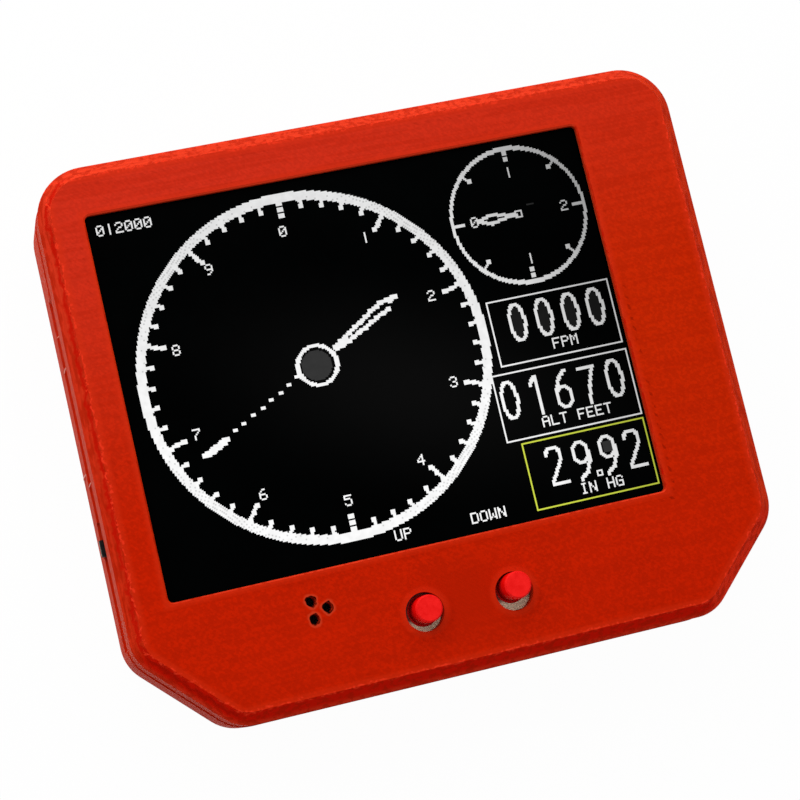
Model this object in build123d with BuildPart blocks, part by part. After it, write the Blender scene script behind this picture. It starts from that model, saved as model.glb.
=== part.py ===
"""Portable altimeter: a small colour screen, two push buttons and a slide switch in a two-shell case.

Millimetres. The altimeter lies on its back: X runs to the right of the screen, Y to its top, Z out of it.
The origin is the middle of the flat back, which the case rests on.
"""

import os
from math import sqrt

from build123d import *

# Case outline, seen from the front
case_width = 85.6
case_height = 73.6
case_depth = 18.0
top_corner_radius = 6.6
corner_cut = 11.0
cut_corner_radius = 5.6

# Case walls and edges
wall = 2.0
front_chamfer = 1.6
back_chamfer = 1.0

# Seam between the two shells: the rear one stands a little outside the front one
seam_low = 10.6
seam_gap = 0.08
rear_step = 0.15
lip_height = 2.4
lip_clearance = 0.15
lip_outset = 1.0
bead_depth = 0.4
bead_height = 0.6
bead_length = 12.0
side_bead_y = 14.0
top_bead_x = 20.0

# Finger recess along the seam, in the left side of the rear shell
recess_low = 7.9
recess_depth = 1.0
recess_low_y = -24.5
recess_high_y = 22.0
recess_ramp = 1.5

# Window and screen: the face is thinned behind the window by a pocket that holds the screen
window_width = 66.0
window_height = 50.0
window_radius = 0.7
window_center = (-4.1, 5.1)
window_chamfer = 0.2
window_wall = 0.9
pocket_clearance = 0.3
cable_room_depth = 6.0
cable_room_margin = 1.0
active_width = 64.8
active_height = 48.6
active_center = (-3.9, 5.9)
panel_width = 77.5
panel_height = 55.0
panel_left_margin = 2.9
ledge_width = 4.5
gasket_thickness = 0.15
polariser_thickness = 0.2
glass_thickness = 0.5
backlight_thickness = 1.15
backlight_rim = 1.2
flex_width = 20.0
flex_thickness = 0.2

# Main board, hung behind the screen
board_top = 12.4
board_thickness = 1.6
board_inset = 2.6

# Buttons: tall tactile switches whose plungers come out through the face
button_spacing = 11.9
button_y = -28.05
button_hole_radius = 2.5
plunger_radius = 1.75
plunger_proud = 2.4
plunger_chamfer = 0.2
up_offset = (0.15, 0.25)
down_offset = (0.1, 0.6)
switch_side = 6.0
switch_plate_thickness = 0.2
plate_hole_gap = 0.3
switch_height = 3.5
press_travel = 0.25

# Slide switch in the left side
slot_low_y = -12.0
slot_low = 7.1
lever_z = 8.6
lever_width = 2.06
lever_height = 2.2
lever_travel = 2.2
lever_gap = 0.2
lever_tip_out = 0.3
slide_body_length = 8.6
slide_body_depth = 4.4
slide_body_height = 4.0
slide_sheet = 0.3
slide_base_depth = 1.5
slide_pin_pitch = 2.5
leg_sheet = 0.3
leg_width = 0.7
leg_rise = 1.0
leg_foot = 1.2

# Sounder holes
sound_hole_radius = 0.63
sound_hole_pitch = 2.2
sound_center = (-19.2, -24.7)

# Charging socket in the right side
socket_y = -8.0
socket_width = 8.94
socket_height = 3.26
socket_length = 7.3
socket_recess = 0.5
socket_sheet = 0.3
socket_opening_gap = 0.4

# Screws at the bottom corners
screw_x = 34.5
screw_y = -26.5
screw_radius = 1.25
screw_head_radius = 2.25
screw_head_height = 1.8
screw_seat = 3.0
screw_end = 15.0
boss_radius = 3.5
post_radius = 3.2
insert_radius = 1.8
insert_length = 3.0

# Battery on the back wall
battery_length = 50.0
battery_width = 34.0
battery_thickness = 5.0
battery_center = (-5.0, 8.0)
battery_pad_thickness = 0.3
lead_radius = 0.55
lead_pitch = 2.0

# Places worked out from the sizes above
face_in = case_depth - wall
seam_high = seam_low + seam_gap
lip_inset = lip_outset + lip_clearance
lip_top = seam_low + lip_height
board_low = board_top - board_thickness
on_floor = (Align.CENTER, Align.CENTER, Align.MIN)
hung = (Align.CENTER, Align.CENTER, Align.MAX)
left_wall_x = -case_width / 2
right_wall_x = case_width / 2
screw_places = [(-screw_x, screw_y), (screw_x, screw_y)]
slot_length = lever_width + lever_travel + 2 * lever_gap
slot_middle = slot_low_y + slot_length / 2
socket_z = board_low - socket_height / 2
panel_left = active_center[0] - active_width / 2 - panel_left_margin
panel_right = panel_left + panel_width
panel_low = active_center[1] - panel_height / 2
panel_middle = (panel_left + panel_width / 2, active_center[1])
pocket_top = case_depth - window_wall

os.makedirs("parts", exist_ok=True)


def case_outline(inset):
    """The front view outline, drawn this far inside the front shell's outer wall."""
    half_width = case_width / 2 - inset
    half_height = case_height / 2 - inset
    leg = corner_cut - inset * (2 - sqrt(2))
    corners = [
        (-half_width, half_height),
        (-half_width, -half_height + leg),
        (-half_width + leg, -half_height),
        (half_width - leg, -half_height),
        (half_width, -half_height + leg),
        (half_width, half_height),
    ]
    top, cut = top_corner_radius - inset, cut_corner_radius - inset
    with BuildSketch() as outline:
        with BuildLine():
            FilletPolyline(*corners, radius=[top, cut, cut, cut, cut, top], close=True)
        make_face()
    return outline.sketch


def socket_outline(grow):
    """The charging socket's rounded outline, looking along X, this much larger all round."""
    with BuildSketch() as outline:
        SlotOverall(socket_width + 2 * grow, socket_height + 2 * grow)
    return outline.sketch


def bead_blocks(inset, height, length):
    """Blocks along the left, right and top walls, from inside the lip out to this inset."""
    root = lip_inset + 0.4
    deep = root - inset
    middle = (root + inset) / 2
    bead_z = lip_top - 0.7
    side_x = case_width / 2 - middle
    with BuildPart() as blocks:
        with Locations((-side_x, side_bead_y, bead_z), (side_x, side_bead_y, bead_z)):
            Box(deep, length, height)
        top_y = case_height / 2 - middle
        with Locations((-top_bead_x, top_y, bead_z), (top_bead_x, top_y, bead_z)):
            Box(length, deep, height)
    return blocks.part


def save(piece, name):
    """Label one finished piece and write it under its own name."""
    piece.part.label = name
    export_step(piece.part, f"parts/{name}.step")


# Front shell: face, window, holes, posts and the rebate for the rear shell's lip
with BuildPart() as front_case:
    with BuildSketch(Plane.XY.offset(seam_high)):
        add(case_outline(0))
    extrude(amount=case_depth - seam_high)
    chamfer(front_case.faces().sort_by(Axis.Z)[-1].edges(), length=front_chamfer)
    with BuildSketch(Plane.XY.offset(seam_high)):
        add(case_outline(wall))
    extrude(amount=face_in - seam_high, mode=Mode.SUBTRACT)
    with BuildSketch(Plane.XY.offset(seam_high)):
        add(case_outline(lip_outset))
    extrude(amount=lip_top + 0.2 - seam_high, mode=Mode.SUBTRACT)
    add(bead_blocks(lip_outset - bead_depth - 0.05, bead_height + 0.4, bead_length + 1), mode=Mode.SUBTRACT)
    with BuildSketch(Plane.XY.offset(face_in)):
        with Locations((-button_spacing / 2, button_y), (button_spacing / 2, button_y)):
            Circle(button_hole_radius)
        with Locations(sound_center):
            with PolarLocations(sound_hole_pitch / sqrt(3), 3):
                Circle(sound_hole_radius)
    extrude(amount=wall, mode=Mode.SUBTRACT)
    # Pocket for the screen, with room at its right for the cable that folds round the panel's edge
    with BuildSketch(Plane.XY.offset(face_in)):
        with Locations(panel_middle):
            Rectangle(panel_width + 2 * pocket_clearance, panel_height + 2 * pocket_clearance)
        with Locations((right_wall_x - wall, active_center[1])):
            cable_room_width = flex_width + 2 * cable_room_margin
            Rectangle(cable_room_depth, cable_room_width, align=(Align.MAX, Align.CENTER))
    extrude(amount=pocket_top - face_in, mode=Mode.SUBTRACT)
    with BuildSketch(Plane.XY.offset(pocket_top)):
        with Locations(window_center):
            RectangleRounded(window_width, window_height, window_radius)
    extrude(amount=window_wall, mode=Mode.SUBTRACT)
    face_edges = front_case.faces().sort_by(Axis.Z)[-1].inner_wires()
    chamfer(face_edges.sort_by(SortBy.LENGTH)[-1].edges(), length=window_chamfer)
    # Posts for the screws' inserts
    with BuildSketch(Plane.XY.offset(board_top)):
        with Locations(screw_places):
            Circle(post_radius)
    extrude(amount=face_in - board_top)
    with BuildSketch(Plane.XY.offset(board_top)):
        with Locations(screw_places):
            Circle(insert_radius)
    extrude(amount=insert_length, mode=Mode.SUBTRACT)
    # Ribs that locate the screen's lower and right edges, and a collar round the sounder holes
    rib_depth = 2.5
    with BuildSketch(Plane.XY.offset(face_in - rib_depth)):
        with Locations((-31.0, panel_low - 1.0), (9.0, panel_low - 1.0)):
            Rectangle(14, 1.2)
        with Locations((panel_right + 0.9, -13.0), (panel_right + 0.9, 25.0)):
            Rectangle(1.2, 10)
    extrude(amount=rib_depth)
    with BuildSketch(Plane.XY.offset(face_in - 1.1)):
        with Locations(sound_center):
            Circle(3.1)
            Circle(2.3, mode=Mode.SUBTRACT)
    extrude(amount=1.1)
    # Opening for the charging socket, shared with the rear shell
    with BuildSketch(Plane.YZ.offset(right_wall_x - 1.5 * wall)):
        with Locations((socket_y, socket_z)):
            add(socket_outline(socket_opening_gap))
    extrude(amount=3 * wall, mode=Mode.SUBTRACT)
save(front_case, "front_case")

# Rear shell: tray with a raised lip, screw bosses, board supports and battery ribs
support_places = [(-33, 30), (33, 30)]
battery_rib = 1.2
battery_rib_gap = 0.6
battery_x, battery_y = battery_center
with BuildPart() as rear_case:
    with BuildSketch():
        add(case_outline(-rear_step))
    extrude(amount=seam_low)
    chamfer(rear_case.faces().sort_by(Axis.Z)[0].edges(), length=back_chamfer)
    with BuildSketch(Plane.XY.offset(seam_low)):
        add(case_outline(lip_inset))
    extrude(amount=lip_height)
    add(bead_blocks(lip_inset - bead_depth, bead_height, bead_length))
    with BuildSketch(Plane.XY.offset(wall)):
        add(case_outline(wall))
    extrude(amount=lip_top - wall, mode=Mode.SUBTRACT)
    with BuildSketch(Plane.XY.offset(wall)):
        with Locations(screw_places):
            Circle(boss_radius)
        with Locations(support_places):
            Circle(2.5)
    extrude(amount=board_low - wall)
    with BuildSketch(Plane.XY.offset(wall)):
        with Locations(battery_center):
            inner_length = battery_length + 2 * battery_rib_gap
            inner_width = battery_width + 2 * battery_rib_gap
            Rectangle(inner_length + 2 * battery_rib, inner_width + 2 * battery_rib)
            Rectangle(inner_length, inner_width, mode=Mode.SUBTRACT)
        edge_below = (battery_x - 20, battery_y - battery_width / 2)
        edge_above = (battery_x, battery_y + battery_width / 2)
        with Locations(edge_below, edge_above):
            Rectangle(8, 6, mode=Mode.SUBTRACT)
    extrude(amount=3)
    for place in screw_places:
        with Locations(Plane(origin=(*place, 0), z_dir=(0, 0, -1))):
            CounterBoreHole(screw_radius + 0.2, screw_head_radius + 0.35, screw_seat)
    # Notch for the switch lever, open at the rim, and the finger recess beside it
    with BuildSketch(Plane.XY.offset(slot_low)):
        with Locations((left_wall_x, slot_middle)):
            Rectangle(4 * wall, slot_length)
    extrude(amount=lip_top - slot_low, mode=Mode.SUBTRACT)
    rear_left_x = left_wall_x - rear_step
    with BuildSketch(Plane.XY.offset(recess_low)):
        with BuildLine():
            Polyline(
                (rear_left_x, recess_low_y),
                (rear_left_x + recess_depth, recess_low_y + recess_ramp),
                (rear_left_x + recess_depth, recess_high_y - recess_ramp),
                (rear_left_x, recess_high_y),
                close=True,
            )
        make_face()
    extrude(amount=seam_low - recess_low, mode=Mode.SUBTRACT)
    with BuildSketch(Plane.YZ.offset(right_wall_x - 1.5 * wall)):
        with Locations((socket_y, socket_z)):
            add(socket_outline(socket_opening_gap))
    extrude(amount=3 * wall, mode=Mode.SUBTRACT)
save(rear_case, "rear_case")

# Screen, from the face inwards: gasket, polariser, two sheets of glass, backlight
front_glass_width = panel_width - ledge_width
front_glass_middle = (panel_left + front_glass_width / 2, active_center[1])
polariser_top = pocket_top - gasket_thickness
front_glass_top = polariser_top - polariser_thickness
rear_glass_top = front_glass_top - glass_thickness
backlight_top = rear_glass_top - glass_thickness
backlight_low = backlight_top - backlight_thickness

with BuildPart() as screen_gasket:
    with BuildSketch(Plane.XY.offset(polariser_top)):
        with Locations(window_center):
            RectangleRounded(window_width + 3.4, window_height + 3.0, 1.4)
            RectangleRounded(window_width + 0.8, window_height + 0.8, 0.9, mode=Mode.SUBTRACT)
    extrude(amount=gasket_thickness)
save(screen_gasket, "screen_gasket")

with BuildPart() as screen_polariser:
    with BuildSketch(Plane.XY.offset(front_glass_top)):
        with Locations(front_glass_middle):
            Rectangle(front_glass_width - 1.6, panel_height - 1.6)
    extrude(amount=polariser_thickness)
save(screen_polariser, "screen_polariser")

with BuildPart() as screen_front_glass:
    with BuildSketch(Plane.XY.offset(rear_glass_top)):
        with Locations(front_glass_middle):
            Rectangle(front_glass_width, panel_height)
    extrude(amount=glass_thickness)
save(screen_front_glass, "screen_front_glass")

with BuildPart() as screen_rear_glass:
    with BuildSketch(Plane.XY.offset(backlight_top)):
        with Locations(panel_middle):
            Rectangle(panel_width, panel_height)
    extrude(amount=glass_thickness)
save(screen_rear_glass, "screen_rear_glass")

with BuildPart() as screen_driver_chip:
    with BuildSketch(Plane.XY.offset(rear_glass_top)):
        with Locations((panel_left + front_glass_width + 1.2, active_center[1])):
            Rectangle(1.1, 20)
    extrude(amount=0.4)
save(screen_driver_chip, "screen_driver_chip")

# Backlight: a white frame round a clear light guide
with BuildPart() as backlight_frame:
    with BuildSketch(Plane.XY.offset(backlight_low)):
        with Locations(panel_middle):
            Rectangle(panel_width, panel_height)
            Rectangle(panel_width - 2 * backlight_rim, panel_height - 2 * backlight_rim, mode=Mode.SUBTRACT)
    extrude(amount=backlight_thickness)
save(backlight_frame, "backlight_frame")

with BuildPart() as light_guide:
    with BuildSketch(Plane.XY.offset(backlight_low)):
        with Locations(panel_middle):
            Rectangle(panel_width - 2 * backlight_rim, panel_height - 2 * backlight_rim)
    extrude(amount=backlight_thickness)
save(light_guide, "light_guide")

with BuildPart() as screen_pad:
    with BuildSketch(Plane.XY.offset(board_top)):
        with Locations(active_center):
            Rectangle(50, 38)
    extrude(amount=backlight_low - board_top)
save(screen_pad, "screen_pad")

# Flexible cable from the glass ledge, folded back onto the board
flex_top_z = rear_glass_top + flex_thickness / 2
flex_low_z = board_top + flex_thickness / 2
flex_bend = (flex_top_z - flex_low_z) / 2
flex_bond_x = panel_right - 2.0
flex_turn_x = panel_right + 0.3
with BuildPart() as screen_flex:
    with BuildSketch(Plane.XZ.offset(-active_center[1] - flex_width / 2)):
        with BuildLine():
            Line((flex_bond_x, rear_glass_top), (flex_turn_x, rear_glass_top))
            middle_z = (flex_top_z + flex_low_z) / 2
            inner_radius = flex_bend - flex_thickness / 2
            outer_radius = flex_bend + flex_thickness / 2
            inner_low_z, outer_low_z = middle_z - inner_radius, middle_z - outer_radius
            inner_tip = (flex_turn_x + inner_radius, middle_z)
            outer_tip = (flex_turn_x + outer_radius, middle_z)
            ThreePointArc((flex_turn_x, rear_glass_top), inner_tip, (flex_turn_x, inner_low_z))
            Line((flex_turn_x, inner_low_z), (30.0, inner_low_z))
            Line((30.0, inner_low_z), (30.0, outer_low_z))
            Line((30.0, outer_low_z), (flex_turn_x, outer_low_z))
            outer_top_z = middle_z + outer_radius
            ThreePointArc((flex_turn_x, outer_low_z), outer_tip, (flex_turn_x, outer_top_z))
            Line((flex_turn_x, outer_top_z), (flex_bond_x, outer_top_z))
            Line((flex_bond_x, outer_top_z), (flex_bond_x, rear_glass_top))
        make_face()
    extrude(amount=flex_width)
save(screen_flex, "screen_flex")

# Main board, with holes for the screws
up_place = (-button_spacing / 2 + up_offset[0], button_y + up_offset[1])
down_place = (button_spacing / 2 + down_offset[0], button_y + down_offset[1])
slide_left = left_wall_x + board_inset
with BuildPart() as main_board:
    with BuildSketch(Plane.XY.offset(board_low)):
        add(case_outline(board_inset))
        with Locations(screw_places):
            Circle(screw_radius + 0.25, mode=Mode.SUBTRACT)
    extrude(amount=board_thickness)
save(main_board, "main_board")

# Tactile switches: moulded base, snap dome, plunger and cover plate
plate_top = board_top + switch_height
plate_low = plate_top - switch_plate_thickness
cup_radius = 2.45
cup_floor = board_top + 1.2
dome_radius = 2.3
dome_rise = press_travel + 0.3
dome_sheet = 0.12
dome_crown = 0.9
flange_radius = 2.25
flange_top = plate_low - 0.06
flange_low = flange_top - 0.6
plunger_top = case_depth + plunger_proud
dome_top = cup_floor + dome_rise + dome_sheet
leg_y = 2.25
for side, place in (("up", up_place), ("down", down_place)):
    with BuildPart() as switch_base:
        with BuildSketch(Plane.XY.offset(board_top)):
            with Locations(place):
                Rectangle(switch_side, switch_side)
        extrude(amount=plate_low - board_top)
        with BuildSketch(Plane.XY.offset(cup_floor)):
            with Locations(place):
                Circle(cup_radius)
        extrude(amount=plate_low - cup_floor, mode=Mode.SUBTRACT)
    save(switch_base, f"{side}_switch_base")

    with BuildPart() as switch_plate:
        with BuildSketch(Plane.XY.offset(plate_low)):
            with Locations(place):
                Rectangle(switch_side, switch_side)
                Circle(plunger_radius + plate_hole_gap, mode=Mode.SUBTRACT)
        extrude(amount=switch_plate_thickness)
    save(switch_plate, f"{side}_switch_plate")

    # The dome is a thin cone with a flat crown, standing on its rim
    with BuildPart() as switch_dome:
        with BuildSketch(Plane(origin=(*place, cup_floor), x_dir=(1, 0, 0), z_dir=(0, -1, 0))):
            with BuildLine():
                Polyline(
                    (0, dome_rise),
                    (dome_crown, dome_rise),
                    (dome_radius, 0),
                    (dome_radius, dome_sheet),
                    (dome_crown, dome_rise + dome_sheet),
                    (0, dome_rise + dome_sheet),
                    close=True,
                )
            make_face()
        revolve(axis=Axis((*place, cup_floor), (0, 0, 1)))
    save(switch_dome, f"{side}_switch_dome")

    with BuildPart() as plunger:
        with BuildSketch(Plane.XY.offset(flange_low)):
            with Locations(place):
                Circle(flange_radius)
        extrude(amount=flange_top - flange_low)
        with BuildSketch(Plane.XY.offset(dome_top)):
            with Locations(place):
                Circle(dome_crown)
        extrude(amount=flange_low - dome_top)
        with BuildSketch(Plane.XY.offset(flange_top)):
            with Locations(place):
                Circle(plunger_radius)
        extrude(amount=plunger_top - flange_top)
        chamfer(plunger.faces().sort_by(Axis.Z)[-1].edges(), length=plunger_chamfer)
    save(plunger, f"{side}_plunger")

# The legs of both tactile switches: each comes down the base's side and ends in a foot on the board
with BuildPart() as switch_legs:
    for place_x, place_y in (up_place, down_place):
        for turn in (-1, 1):
            riser_x = place_x + turn * (switch_side + leg_sheet) / 2
            foot_x = place_x + turn * (switch_side + leg_foot) / 2
            with Locations(Plane.XY.offset(board_top)):
                with Locations((riser_x, place_y - leg_y), (riser_x, place_y + leg_y)):
                    Box(leg_sheet, leg_width, leg_rise, align=on_floor)
                with Locations((foot_x, place_y - leg_y), (foot_x, place_y + leg_y)):
                    Box(leg_foot, leg_width, leg_sheet, align=on_floor)
save(switch_legs, "switch_legs")

# Slide switch: sheet shell, moulded base, pins and lever
slide_middle_x = slide_left + slide_body_depth / 2
slide_middle_z = board_low - slide_body_height / 2
lever_y = slot_low_y + lever_gap + lever_width / 2
cavity_depth = slide_body_depth - slide_sheet - slide_base_depth
with BuildPart() as slide_shell:
    with Locations((slide_middle_x, slot_middle, slide_middle_z)):
        Box(slide_body_depth, slide_body_length, slide_body_height)
    inner_length = slide_body_length - 2 * slide_sheet
    inner_height = slide_body_height - 2 * slide_sheet
    with Locations((slide_middle_x + slide_sheet, slot_middle, slide_middle_z)):
        Box(slide_body_depth, inner_length, inner_height, mode=Mode.SUBTRACT)
    with Locations((slide_left, slot_middle, lever_z)):
        Box(2 * slide_sheet, slot_length, lever_height + 0.4, mode=Mode.SUBTRACT)
save(slide_shell, "power_switch_shell")

with BuildPart() as slide_base:
    base_x = slide_left + slide_body_depth - slide_base_depth / 2
    with Locations((base_x, slot_middle, slide_middle_z)):
        Box(slide_base_depth, inner_length, inner_height)
save(slide_base, "power_switch_base")

# Its pins come up the back of the base and end in feet under the board
with BuildPart() as slide_pins:
    pin_x = slide_left + slide_body_depth
    with Locations(Plane.XY.offset(board_low)):
        with Locations((pin_x + leg_sheet / 2, slot_middle)):
            with GridLocations(0, slide_pin_pitch, 1, 3):
                Box(leg_sheet, leg_width, leg_rise, align=hung)
        with Locations((pin_x + leg_foot / 2, slot_middle)):
            with GridLocations(0, slide_pin_pitch, 1, 3):
                Box(leg_foot, leg_width, leg_sheet, align=hung)
save(slide_pins, "power_switch_pins")

# The lever is a block inside the shell with a finger that reaches out through the notch
with BuildPart() as lever:
    block_depth = cavity_depth - 0.4
    block_x = slide_left + slide_sheet + 0.2
    tip_x = rear_left_x - lever_tip_out
    with Locations((block_x + block_depth / 2, lever_y, lever_z)):
        Box(block_depth, 2 * lever_width, lever_height + 0.4)
    with Locations(((tip_x + block_x) / 2, lever_y, lever_z)):
        Box(block_x - tip_x, lever_width, lever_height)
    fillet(lever.faces().sort_by(Axis.X)[0].edges().filter_by(Axis.Y), radius=0.4)
save(lever, "power_switch_lever")

# Charging socket: folded shell with a moulded tongue inside
socket_mouth_x = right_wall_x - socket_recess
socket_back_x = socket_mouth_x - socket_length
with BuildPart() as socket_shell:
    with BuildSketch(Plane.YZ.offset(socket_back_x)):
        with Locations((socket_y, socket_z)):
            add(socket_outline(0))
    extrude(amount=socket_length)
    with BuildSketch(Plane.YZ.offset(socket_back_x + 0.8)):
        with Locations((socket_y, socket_z)):
            add(socket_outline(-socket_sheet))
    extrude(amount=socket_length, mode=Mode.SUBTRACT)
save(socket_shell, "charge_socket_shell")

with BuildPart() as socket_tongue:
    with BuildSketch(Plane.YZ.offset(socket_back_x + 0.8)):
        with Locations((socket_y, socket_z)):
            add(socket_outline(-socket_sheet))
    extrude(amount=1.2)
    with BuildSketch(Plane.YZ.offset(socket_back_x + 2.0)):
        with Locations((socket_y, socket_z)):
            Rectangle(6.7, 0.7)
    extrude(amount=4.4)
save(socket_tongue, "charge_socket_tongue")

# Parts on the board's front: sounder and pressure sensor
with BuildPart() as sounder:
    with BuildSketch(Plane.XY.offset(board_top)):
        with Locations((sound_center[0], sound_center[1] - 0.4)):
            RectangleRounded(5, 5, 0.5)
    extrude(amount=2.3)
    with Locations((sound_center[0], sound_center[1], board_top + 2.3)):
        Cylinder(0.6, 1.6, mode=Mode.SUBTRACT)
save(sounder, "sounder")

with BuildPart() as pressure_sensor:
    sensor_place = (-27.0, -27.0)
    with BuildSketch(Plane.XY.offset(board_top)):
        with Locations(sensor_place):
            Rectangle(3.6, 3.8)
    extrude(amount=1.1)
    with Locations((sensor_place[0] + 1, sensor_place[1] + 1, board_top + 1.1)):
        Cylinder(0.25, 1.0, mode=Mode.SUBTRACT)
save(pressure_sensor, "pressure_sensor")

# Parts on the board's back: processor module, its shield, chips and the battery socket
module_center = (27.5, 13.5)
with BuildPart() as processor_module:
    with BuildSketch(Plane.XY.offset(board_low - 0.8)):
        with Locations(module_center):
            Rectangle(18, 25.5)
    extrude(amount=0.8)
save(processor_module, "processor_module")

with BuildPart() as processor_shield:
    with BuildSketch(Plane.XY.offset(board_low - 3.1)):
        with Locations((module_center[0], module_center[1] - 3)):
            RectangleRounded(15.8, 17.6, 1.0)
    extrude(amount=2.3)
save(processor_shield, "processor_shield")

with BuildPart() as power_chips:
    with BuildSketch(Plane.XY.offset(board_low - 1.5)):
        with Locations((26, -14), (18, -16)):
            Rectangle(4.9, 3.9)
    extrude(amount=1.5)
    chamfer(power_chips.faces().group_by(Axis.Z)[0].edges(), length=0.3)
save(power_chips, "power_chips")

with BuildPart() as chip_capacitors:
    with BuildSketch(Plane.XY.offset(board_low - 0.9)):
        with Locations((23, -19)):
            with GridLocations(4, 0, 4, 1):
                Rectangle(1.6, 0.9)
    extrude(amount=0.9)
save(chip_capacitors, "chip_capacitors")

# Battery connector: the plug sits in the socket's cavity
lead_x = battery_x - 20
connector_y = -20.0
connector_socket = (6.0, 6.5, 4.8)
connector_wall = 0.7
plug_width = connector_socket[0] - 2 * connector_wall - 0.2
plug_height = connector_socket[2] - 2 * connector_wall - 0.2
plug_size = (plug_width, 6.0, plug_height)
plug_z = board_low - connector_socket[2] / 2
with BuildPart() as battery_socket:
    with Locations((lead_x, connector_y - connector_socket[1] / 2, plug_z)):
        Box(*connector_socket)
    with Locations((lead_x, connector_y - connector_socket[1] / 2 + 1.5, plug_z)):
        Box(plug_size[0] + 0.2, connector_socket[1], plug_size[2] + 0.2, mode=Mode.SUBTRACT)
save(battery_socket, "battery_socket")

plug_face_y = connector_y + 1.2
with BuildPart() as battery_plug:
    with Locations((lead_x, plug_face_y - plug_size[1] / 2, plug_z)):
        Box(*plug_size)
save(battery_plug, "battery_plug")

# Battery pouch, its pad and its two leads
battery_low = wall + battery_pad_thickness
battery_edge_y = battery_y - battery_width / 2
with BuildPart() as battery_cell:
    with Locations((battery_x, battery_y, battery_low + battery_thickness / 2)):
        Box(battery_length, battery_width, battery_thickness)
    fillet(battery_cell.edges().filter_by(Axis.X), radius=1.8)
save(battery_cell, "battery_cell")

with BuildPart() as battery_pad:
    with BuildSketch(Plane.XY.offset(wall)):
        with Locations(battery_center):
            Rectangle(40, 20)
    extrude(amount=battery_pad_thickness)
save(battery_pad, "battery_pad")

lead_start_z = battery_low + battery_thickness / 2
for color, x in (("red", lead_x - lead_pitch / 2), ("black", lead_x + lead_pitch / 2)):
    route = [
        (x, battery_edge_y, lead_start_z),
        (x, battery_edge_y - 2.5, lead_start_z),
        (x, plug_face_y + 2.5, plug_z),
        (x, plug_face_y, plug_z),
    ]
    with BuildPart() as lead:
        with BuildLine() as path:
            Polyline(*route)
        with BuildSketch(Plane(origin=route[0], z_dir=(0, -1, 0))):
            Circle(lead_radius)
        sweep(path=path.wire(), transition=Transition.RIGHT)
    save(lead, f"{color}_lead")

# Brass inserts and the case screws
with BuildPart() as screw_inserts:
    with BuildSketch(Plane.XY.offset(board_top)):
        with Locations(screw_places):
            Circle(insert_radius - 0.03)
            Circle(screw_radius + 0.03, mode=Mode.SUBTRACT)
    extrude(amount=insert_length)
save(screw_inserts, "screw_inserts")

with BuildPart() as case_screws:
    with BuildSketch(Plane.XY.offset(screw_seat)):
        with Locations(screw_places):
            Circle(screw_radius)
    extrude(amount=screw_end - screw_seat)
    with BuildSketch(Plane.XY.offset(screw_seat - screw_head_height)):
        with Locations(screw_places):
            Circle(screw_head_radius)
    extrude(amount=screw_head_height)
    with BuildSketch(Plane.XY.offset(screw_seat - screw_head_height)):
        with Locations(screw_places):
            RegularPolygon(0.85, 6)
    extrude(amount=1.1, mode=Mode.SUBTRACT)
save(case_screws, "case_screws")
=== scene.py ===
"""Looks of the portable altimeter: print finish, lit screen, buttons, slide switch and the stage."""

from math import ceil, cos, floor, hypot, pi, radians, sin, sqrt

import bpy
from bpy.props import FloatProperty, FloatVectorProperty, PointerProperty
from bpy.types import Operator, Panel, PropertyGroup
from mathutils import Matrix, Vector


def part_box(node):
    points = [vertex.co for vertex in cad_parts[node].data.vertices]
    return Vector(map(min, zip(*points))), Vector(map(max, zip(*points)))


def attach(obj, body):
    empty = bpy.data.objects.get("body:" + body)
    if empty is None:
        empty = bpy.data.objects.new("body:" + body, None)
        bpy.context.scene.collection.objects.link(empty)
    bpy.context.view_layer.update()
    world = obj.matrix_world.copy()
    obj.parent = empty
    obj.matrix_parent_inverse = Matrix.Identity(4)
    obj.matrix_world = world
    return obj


bl_info = {
    "name": "Portable altimeter looks",
    "version": (1, 0, 0),
    "blender": (4, 5, 0),
    "location": "3D View > Sidebar > Altimeter",
    "description": "Finishes the altimeter's shells, screen, buttons and electronics, and sets its stage",
    "category": "Object",
}

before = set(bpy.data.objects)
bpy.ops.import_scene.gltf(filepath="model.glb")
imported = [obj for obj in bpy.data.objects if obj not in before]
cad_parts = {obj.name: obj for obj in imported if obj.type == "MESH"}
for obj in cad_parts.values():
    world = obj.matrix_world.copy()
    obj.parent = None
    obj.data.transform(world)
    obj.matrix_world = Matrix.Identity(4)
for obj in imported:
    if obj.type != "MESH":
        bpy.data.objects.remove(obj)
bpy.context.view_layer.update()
MM = 0.001

# Places on the case, in millimetres in the part's frame
SHELL_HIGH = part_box("front_case")[1]
HALF_WIDTH = SHELL_HIGH.x / MM
HALF_HEIGHT = SHELL_HIGH.y / MM
FACE_Z = SHELL_HIGH.z / MM
CORNER_CUT = 11.0
CHAMFER = 1.6
WINDOW_CENTER = (-4.1, 5.1)
WINDOW_HALF = (33.0, 25.0)
BUTTON_X = 5.95
BUTTON_Y = -28.05
BUTTON_HOLE = 2.5
BUTTON_PATCH_Y = -27.5
SOUND_CENTER = (-19.2, -24.7)
SOUND_RING = 1.27
SOUND_HOLE = 0.63
SCREEN_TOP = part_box("screen_polariser")[1].z / MM

# The screen's picture is 320 by 240 dots, counted from its top left corner
DOTS_WIDE = 320
DOTS_HIGH = 240
DIAL_CENTER = (120, 120)
SMALL_DIAL_CENTER = (271, 50)
DIGIT_PITCH = 17.8
HUB_FILL = 9.5

# Where the picture lies on the film, and how far above it, in millimetres
DOT_PITCH = 0.2041
DOT_LIFT = 0.012
PICTURE_CENTER = (-4.08, 5.72)

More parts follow.
